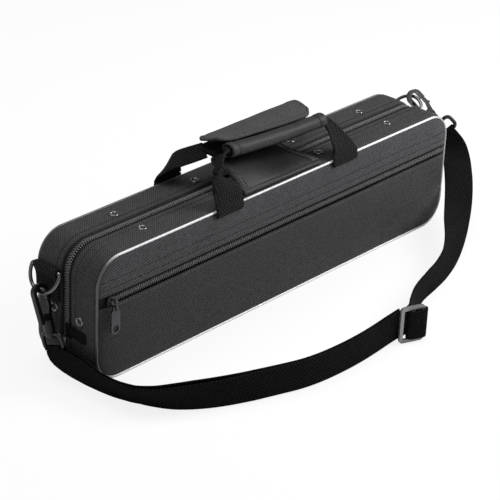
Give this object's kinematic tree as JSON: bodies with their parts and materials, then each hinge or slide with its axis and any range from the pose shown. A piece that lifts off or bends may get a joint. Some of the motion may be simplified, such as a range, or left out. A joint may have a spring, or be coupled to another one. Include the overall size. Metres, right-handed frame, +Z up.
{
  "type": "flute case",
  "caption": "Slim padded soft case for a three-joint flute: two fabric halves on a cloth hinge, coil zipper, front pocket, wrapped carrying handle and clip-on shoulder strap.",
  "frame": {"origin": "on the underside, at mid-length, on the line where the two halves meet", "axes": "+X along the case to its right end, -Y to the front (the half with the pocket), +Z up"},
  "size_m": [0.481, 0.1944, 0.1452],
  "materials": {
    "case_fabric": "black coated oxford cloth",
    "panel_fabric": "black coated oxford cloth, padded",
    "board": "stiffener board",
    "plush": "dark plush over foam",
    "reflective_piping": "glossy grey reflective piping",
    "zip_tape": "black woven tape",
    "zip_coil": "black nylon coil",
    "dark_metal": "black nickel",
    "rivet_metal": "bright nickel",
    "webbing": "black ribbed webbing",
    "handle_cloth": "black coated cloth, padded",
    "ring_steel": "bright nickel-plated wire",
    "hook_metal": "black nickel casting",
    "slide_metal": "grey plated steel"
  },
  "bodies": {
    "root": {"rear_band": "case_fabric", "rear_panel": "panel_fabric", "rear_piping": "reflective_piping", "rear_zip_tape": "zip_tape", "rear_zip_coil": "zip_coil", "flute_tray": "plush", "rear_rivets": "rivet_metal", "left_ring_tab": "webbing", "right_ring_tab": "webbing", "hinge_strip": "case_fabric", "left_gusset": "case_fabric", "right_gusset": "case_fabric", "rear_handle_feet": "webbing", "shoulder_strap": "webbing", "strap_return": "webbing"},
    "lid": {"front_band": "case_fabric", "front_board": "board", "upper_panel": "panel_fabric", "pocket_panel": "panel_fabric", "front_piping": "reflective_piping", "front_zip_tape": "zip_tape", "front_zip_coil": "zip_coil", "pocket_zip_tape": "zip_tape", "pocket_zip_coil": "zip_coil", "lid_pad": "plush", "front_rivets": "rivet_metal", "front_handle_feet": "webbing", "zip_end_tabs": "webbing"},
    "left_slider": {"left_zip_slider": "dark_metal"},
    "left_pull": {"left_zip_link": "dark_metal", "left_zip_pull": "dark_metal"},
    "right_slider": {"right_zip_slider": "dark_metal"},
    "right_pull": {"right_zip_link": "dark_metal", "right_zip_pull": "dark_metal"},
    "pocket_slider": {"pocket_zip_slider": "dark_metal"},
    "pocket_pull": {"pocket_zip_link": "dark_metal", "pocket_zip_pull": "dark_metal"},
    "front_handle": {"front_handle_webbing": "webbing", "grip_sleeve": "handle_cloth", "wrap_upper_flap": "handle_cloth", "wrap_lower_flap": "handle_cloth"},
    "rear_handle": {"rear_handle_webbing": "webbing"},
    "left_ring": {"left_d_ring": "ring_steel"},
    "left_clip": {"left_hook": "hook_metal", "left_gate_pin": "ring_steel"},
    "left_gate": {"left_gate": "hook_metal"},
    "left_eye": {"left_clip_eye": "ring_steel", "left_strap_fold": "webbing"},
    "right_ring": {"right_d_ring": "ring_steel"},
    "right_clip": {"right_hook": "hook_metal", "right_gate_pin": "ring_steel"},
    "right_gate": {"right_gate": "hook_metal"},
    "right_eye": {"right_clip_eye": "ring_steel", "right_strap_fold": "webbing"},
    "slide": {"tri_glide": "slide_metal", "strap_end_loop": "webbing"}
  },
  "joints": [
    {"name": "lid_hinge", "type": "hinge", "parent": "root", "child": "lid", "pos_m": [0, 0, 0], "axis": [1, 0, 0], "range_deg": [0, 90], "deforming": ["hinge_strip", "left_gusset", "right_gusset", "shoulder_strap", "strap_return"]},
    {"name": "left_zip_run", "type": "slide", "parent": "root", "child": "left_slider", "axis": [-1, 0, 0], "range_m": [0, 0.165], "deforming": ["front_zip_coil", "rear_zip_coil"]},
    {"name": "left_pull_swing", "type": "hinge", "parent": "left_slider", "child": "left_pull", "pos_m": [-0.014, 0, 0.11075], "axis": [1, 0, 0], "range_deg": [0, 45]},
    {"name": "right_zip_run", "type": "slide", "parent": "root", "child": "right_slider", "axis": [1, 0, 0], "range_m": [0, 0.165], "deforming": ["front_zip_coil", "rear_zip_coil"]},
    {"name": "right_pull_swing", "type": "hinge", "parent": "right_slider", "child": "right_pull", "pos_m": [0.014, 0, 0.11075], "axis": [1, 0, 0], "range_deg": [0, 45]},
    {"name": "pocket_zip_run", "type": "slide", "parent": "lid", "child": "pocket_slider", "axis": [1, 0, 0], "range_m": [0, 0.38], "deforming": ["pocket_zip_coil"]},
    {"name": "pocket_pull_swing", "type": "hinge", "parent": "pocket_slider", "child": "pocket_pull", "pos_m": [-0.196, -0.03975, 0.071], "axis": [-1, 0, 0], "range_deg": [0, 150]},
    {"name": "front_handle_swing", "type": "hinge", "parent": "lid", "child": "front_handle", "pos_m": [0, -0.0356, 0.1084], "axis": [1, 0, 0], "range_deg": [0, 140]},
    {"name": "rear_handle_swing", "type": "hinge", "parent": "root", "child": "rear_handle", "pos_m": [0, 0.0336, 0.1084], "axis": [-1, 0, 0], "range_deg": [0, 140]},
    {"name": "left_ring_swing", "type": "hinge", "parent": "root", "child": "left_ring", "pos_m": [-0.2129, 0.018, 0.084], "axis": [0, 1, 0], "range_deg": [0, 100], "deforming": ["shoulder_strap", "strap_return"]},
    {"name": "left_clip_tilt", "type": "hinge", "parent": "left_ring", "child": "left_clip", "pos_m": [-0.22021, 0.018, 0.06592], "axis": [0, 1, 0], "range_deg": [0, 30], "deforming": ["shoulder_strap", "strap_return"]},
    {"name": "left_gate_press", "type": "hinge", "parent": "left_clip", "child": "left_gate", "pos_m": [-0.2179, 0.00938, 0.0446], "axis": [0, -0.9272, 0.3746], "range_deg": [0, 18], "stiffness_Nm_per_rad": 0.05, "springref_deg": -11.46},
    {"name": "left_eye_swivel", "type": "hinge", "parent": "left_clip", "child": "left_eye", "pos_m": [-0.22021, 0.00564, 0.03532], "axis": [0, 0.3746, 0.9272], "range_deg": [-30, 30], "deforming": ["shoulder_strap", "strap_return"]},
    {"name": "right_ring_swing", "type": "hinge", "parent": "root", "child": "right_ring", "pos_m": [0.2129, 0.018, 0.084], "axis": [0, -1, 0], "range_deg": [-30, 25], "deforming": ["shoulder_strap", "strap_return"]},
    {"name": "right_clip_tilt", "type": "hinge", "parent": "right_ring", "child": "right_clip", "pos_m": [0.22669, 0.018, 0.09779], "axis": [0, -1, 0], "range_deg": [-20, 20], "deforming": ["shoulder_strap", "strap_return"]},
    {"name": "right_gate_press", "type": "hinge", "parent": "right_clip", "child": "right_gate", "pos_m": [0.23876, 0.00535, 0.08267], "axis": [-0.2897, -0.8352, 0.4675], "range_deg": [0, 18], "stiffness_Nm_per_rad": 0.05, "springref_deg": -11.46},
    {"name": "right_eye_swivel", "type": "hinge", "parent": "right_clip", "child": "right_eye", "pos_m": [0.24121, -0.00015, 0.07436], "axis": [-0.44, 0.5499, 0.7099], "range_deg": [-60, 60], "deforming": ["shoulder_strap", "strap_return"]},
    {"name": "strap_slide", "type": "slide", "parent": "root", "child": "slide", "axis": [0.9272, -0.3746, 0], "range_m": [-0.015, 0.015], "deforming": ["shoulder_strap", "strap_return"]}
  ],
  "couplings": [
    {"joint": "rear_handle_swing", "follows": "front_handle_swing", "ratio": 1}
  ]
}
